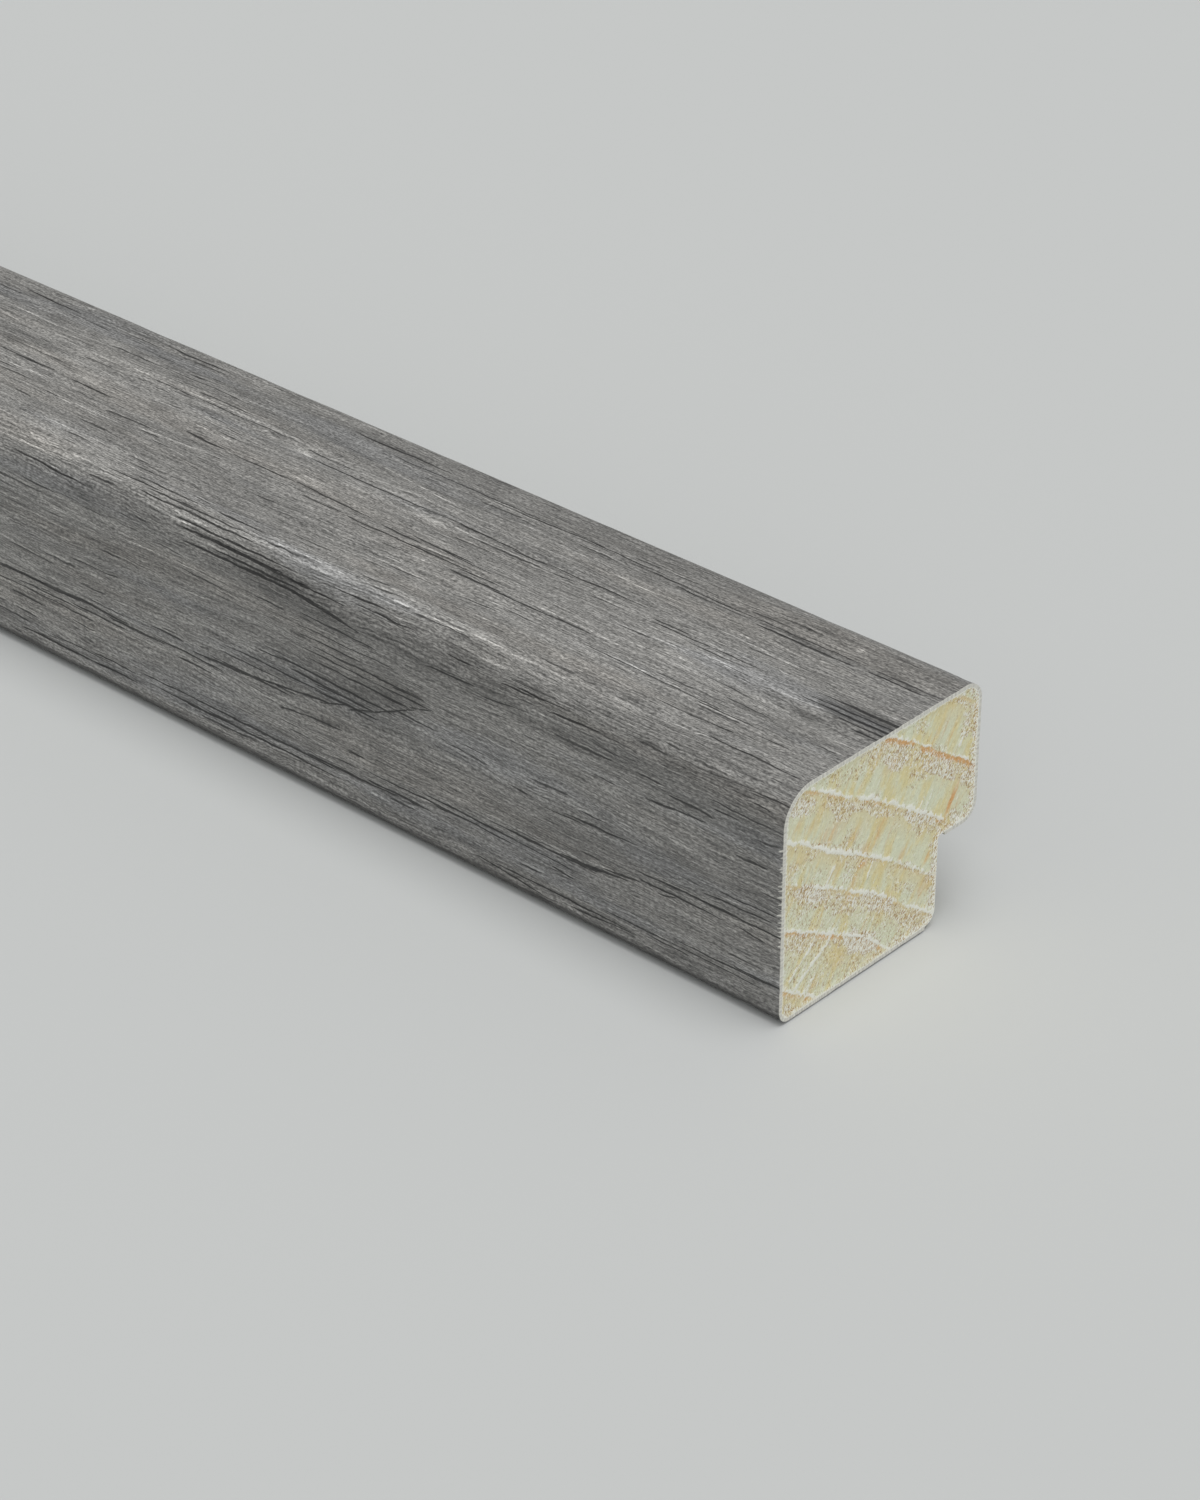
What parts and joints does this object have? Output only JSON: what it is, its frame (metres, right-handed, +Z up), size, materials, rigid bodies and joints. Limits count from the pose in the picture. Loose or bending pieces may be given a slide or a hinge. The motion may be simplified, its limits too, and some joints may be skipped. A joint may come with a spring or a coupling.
{
  "type": "acoustic panel end trim",
  "caption": "Long L-shaped softwood moulding wrapped in a grey wood-effect foil, with a rebate that covers the felt edge of an acoustic slat panel.",
  "frame": {"origin": "middle of the moulding's box, on the level of the wall face that it lies on", "axes": "+X along the length, towards the end that the camera sees; +Y across the width, from the rounded show edge to the lip; +Z up, away from the wall face"},
  "size_m": [2.4, 0.03, 0.026],
  "materials": {
    "pine": "bare softwood, planed along its length and sawn across its ends",
    "foil": "matt grey wood-effect print with an embossed grain"
  },
  "bodies": {
    "root": {"pine_core": "pine", "decor_foil": "foil"}
  },
  "joints": []
}
